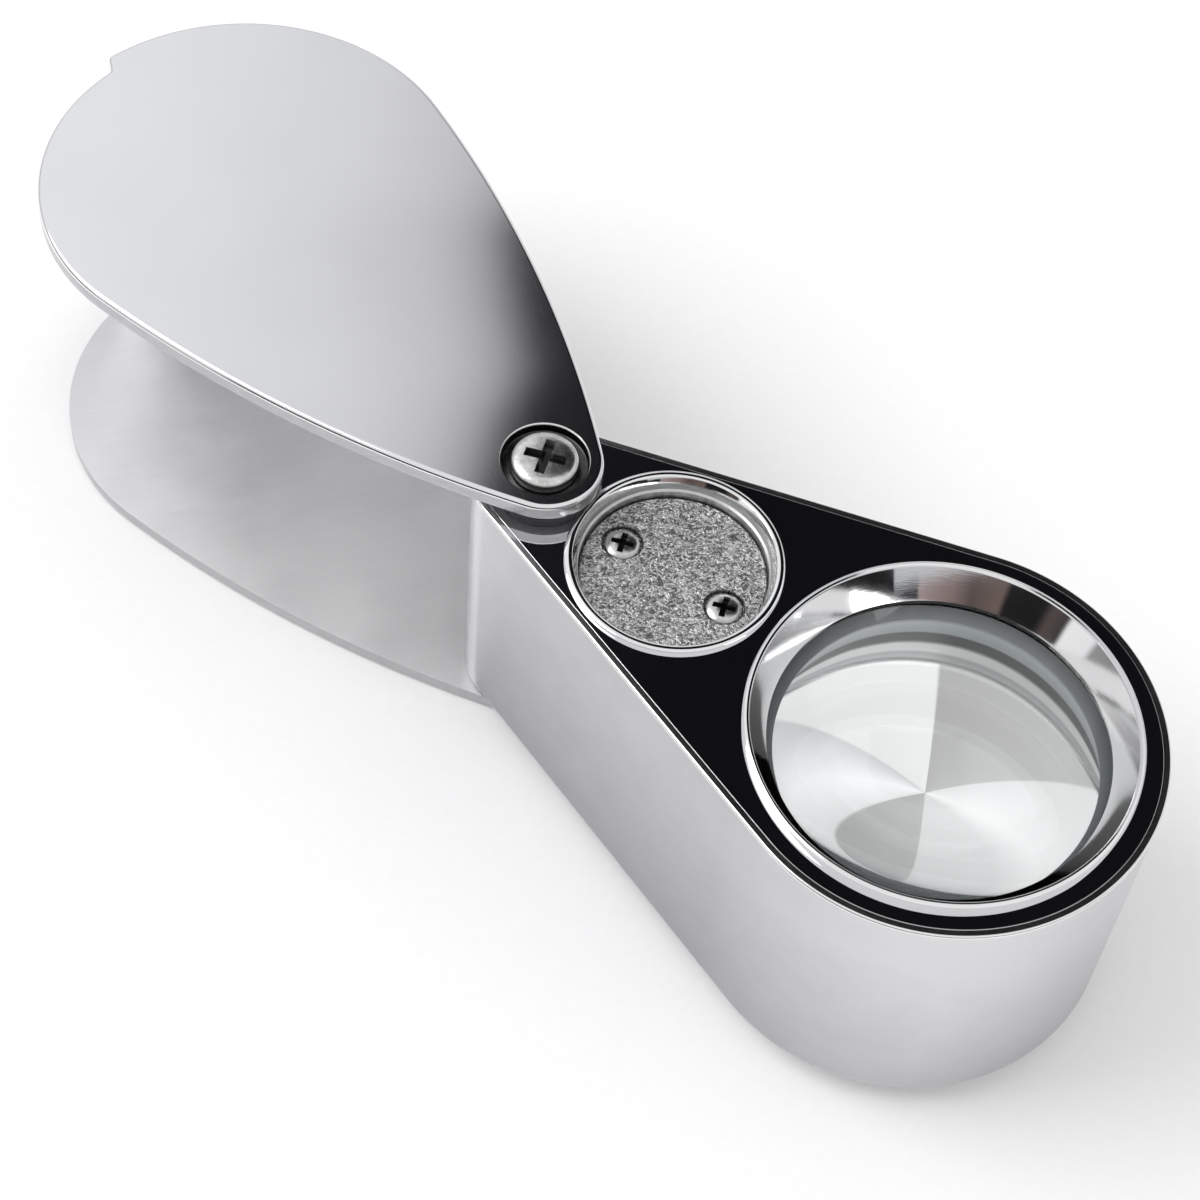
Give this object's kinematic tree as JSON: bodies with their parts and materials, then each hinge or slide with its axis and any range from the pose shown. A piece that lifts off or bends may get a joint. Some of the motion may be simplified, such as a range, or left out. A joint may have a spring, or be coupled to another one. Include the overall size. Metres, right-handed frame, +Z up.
{
  "type": "folding illuminated loupe",
  "caption": "Folding pocket loupe: teardrop lens housing with LED light and button cells that swings out of a two-plate teardrop case about a pivot.",
  "frame": {"origin": "on the pivot axis, at the underside of the lower case plate, on which the loupe rests", "axes": "+Z up along the pivot axis, +X from the pivot to the lens axis with the housing open; the case lies towards -X"},
  "size_m": [0.1011, 0.0397, 0.0289],
  "materials": {
    "polished_case": "mirror polished outside, brushed inside",
    "satin_housing": "satin plated zinc",
    "mirror_face": "mirror polished",
    "bright_chrome": "bright plated",
    "screw_steel": "nickel plated steel",
    "nylon": "black nylon",
    "brass": "spring brass",
    "lens_glass": "polished",
    "barrel_plastic": "white moulded",
    "board": "green solder mask",
    "led_resin": "clear resin",
    "holder_plastic": "black moulded",
    "cell_can": "nickel plated can",
    "cast_cover": "rough cast"
  },
  "bodies": {
    "case": {"case_shell": "polished_case", "pivot_screw": "screw_steel", "pivot_post": "screw_steel", "washer_top": "nylon", "washer_bottom": "nylon", "switch_cam": "brass"},
    "housing": {"housing_shell": "satin_housing", "face_plate": "mirror_face", "bush_top": "brass", "bush_bottom": "brass", "lens_bezel": "bright_chrome", "upper_lens": "lens_glass", "lens_spacer": "barrel_plastic", "lower_lens": "lens_glass", "lens_barrel": "barrel_plastic", "led_board": "board", "led_left": "led_resin", "led_right": "led_resin", "battery_holder": "holder_plastic", "button_cell_1": "cell_can", "button_cell_2": "cell_can", "button_cell_3": "cell_can", "battery_spring": "brass", "battery_contact": "brass", "contact_carrier": "holder_plastic", "battery_cap_ring": "bright_chrome", "battery_cover_disc": "cast_cover", "battery_cover_screws": "screw_steel", "contact_strip": "brass", "switch_leaf": "brass"}
  },
  "joints": [
    {"name": "swing", "type": "hinge", "parent": "case", "child": "housing", "pos_m": [0, 0, 0.0143], "axis": [0, 0, 1], "range_deg": [-191.4, 90]}
  ]
}
